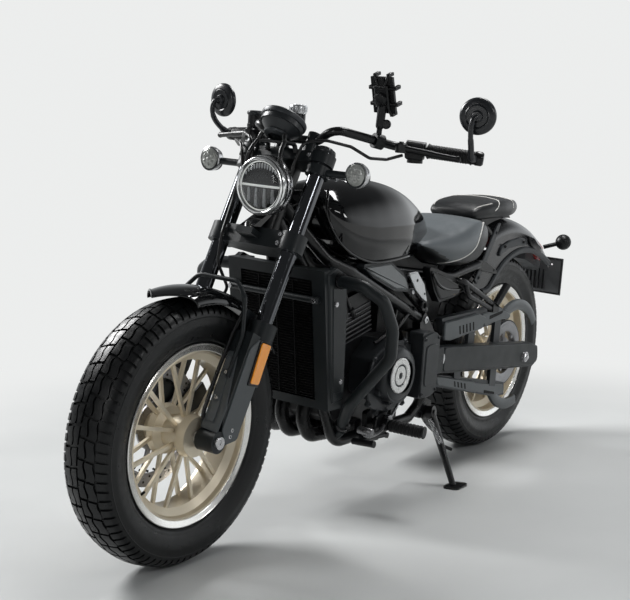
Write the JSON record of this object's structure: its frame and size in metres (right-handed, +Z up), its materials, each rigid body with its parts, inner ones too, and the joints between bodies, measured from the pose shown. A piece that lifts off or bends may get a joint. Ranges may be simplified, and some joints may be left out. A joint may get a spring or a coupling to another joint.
{
  "type": "cruiser motorcycle",
  "caption": "Low cruiser motorcycle with a teardrop tank, belt drive, cast spoke wheels and a parallel twin engine, leaning on its side stand.",
  "frame": {"origin": "middle of the base of the box round the whole motorcycle as it leans on its side stand, on the floor", "axes": "+X forward, +Y to the rider's left, +Z up; the motorcycle leans 5 degrees towards +Y"},
  "size_m": [2.1849, 0.8846, 1.1685],
  "materials": {
    "painted_black_gloss": "deep gloss black paint",
    "frame_black": "satin black paint",
    "charcoal_satin": "satin charcoal paint",
    "fork_black": "dark polished tubes",
    "gold_wheel": "champagne gold paint with a polished lip",
    "tyre_rubber": "moulded tread rubber",
    "disc_steel": "drilled brushed steel",
    "axle_steel": "bright plated steel",
    "pulley_alloy": "machined alloy",
    "belt_rubber": "toothed reinforced rubber",
    "guard_grey": "satin grey",
    "engine_black": "satin black engine paint",
    "radiator_core": "black fins",
    "exhaust_dark": "dark coated steel",
    "seat_hide": "smooth blue-grey top with black sides",
    "pillion_hide": "black grained cover with pale piping",
    "trim_black": "grained black plastic",
    "plate_alloy": "brushed bright plate",
    "shock_black": "black coil spring",
    "caliper_black": "black anodised",
    "rubber_black": "ribbed rubber",
    "control_black": "satin black with bright ends",
    "lamp_shell": "gloss black with a bright rim",
    "lamp_glass": "clear moulded lens",
    "signal_clear": "clear lens in a black shell",
    "tail_red": "red lens",
    "cable_black": "black sheathing",
    "cap_steel": "polished cap"
  },
  "bodies": {
    "chassis": {"main_frame": "frame_black", "swingarm": "frame_black", "rear_axles": "axle_steel", "rear_shock": "shock_black", "crankcase": "engine_black", "cylinders": "engine_black", "engine_covers": "engine_black", "radiator": "radiator_core", "radiator_shroud": "charcoal_satin", "crash_bars": "charcoal_satin", "exhaust_pipes": "exhaust_dark", "muffler": "exhaust_dark", "fuel_tank": "painted_black_gloss", "rider_seat": "seat_hide", "pillion_seat": "pillion_hide", "rear_fender": "painted_black_gloss", "fender_rails": "guard_grey", "pillion_base": "frame_black", "side_covers": "trim_black", "frame_plates": "plate_alloy", "tank_panels": "trim_black", "airbox": "trim_black", "drive_belt": "belt_rubber", "belt_guards": "guard_grey", "rear_caliper": "caliper_black", "foot_controls": "control_black", "pillion_pegs": "control_black", "tail_lamp": "tail_red", "plate_bracket": "trim_black", "rear_signals": "trim_black"},
    "steering": {"lower_clamp": "charcoal_satin", "top_clamp": "charcoal_satin", "fork_tubes": "fork_black", "fork_legs": "charcoal_satin", "front_axle": "axle_steel", "front_fender": "painted_black_gloss", "fork_brace": "charcoal_satin", "headlight": "lamp_shell", "headlight_lens": "lamp_glass", "instrument_pod": "lamp_shell", "handlebar": "control_black", "grips": "rubber_black", "hand_controls": "trim_black", "mirrors": "control_black", "front_signals": "signal_clear", "phone_holder": "trim_black", "front_caliper": "caliper_black", "control_cables": "cable_black"},
    "front_wheel_set": {"front_wheel": "gold_wheel", "front_tyre": "tyre_rubber", "front_disc": "disc_steel"},
    "rear_wheel_set": {"rear_wheel": "gold_wheel", "rear_tyre": "tyre_rubber", "rear_disc": "disc_steel", "rear_pulley": "pulley_alloy"},
    "side_stand_arm": {"side_stand": "control_black"},
    "tank_cap": {"fuel_cap": "cap_steel"}
  },
  "joints": [
    {"name": "steering_turn", "type": "hinge", "parent": "chassis", "child": "steering", "pos_m": [0.43952, -0.02317, 0.821], "axis": [-0.454, 0.0777, 0.8876], "range_deg": [-36, 36]},
    {"name": "front_wheel_spin", "type": "hinge", "parent": "steering", "child": "front_wheel_set", "pos_m": [0.7725, -0.06707, 0.31918], "axis": [0, 0.9962, -0.0872], "continuous": true},
    {"name": "rear_wheel_spin", "type": "hinge", "parent": "chassis", "child": "rear_wheel_set", "pos_m": [-0.7275, -0.06681, 0.32217], "axis": [0, 0.9962, -0.0872], "continuous": true},
    {"name": "side_stand_fold", "type": "hinge", "parent": "chassis", "child": "side_stand_arm", "pos_m": [-0.2155, 0.05155, 0.20641], "axis": [-0.147, 0.9879, 0.0493], "range_deg": [0, 95]},
    {"name": "tank_cap_lift", "type": "hinge", "parent": "chassis", "child": "tank_cap", "pos_m": [0.1865, -0.01574, 0.90594], "axis": [0, 0.9962, -0.0872], "range_deg": [0, 90]}
  ]
}
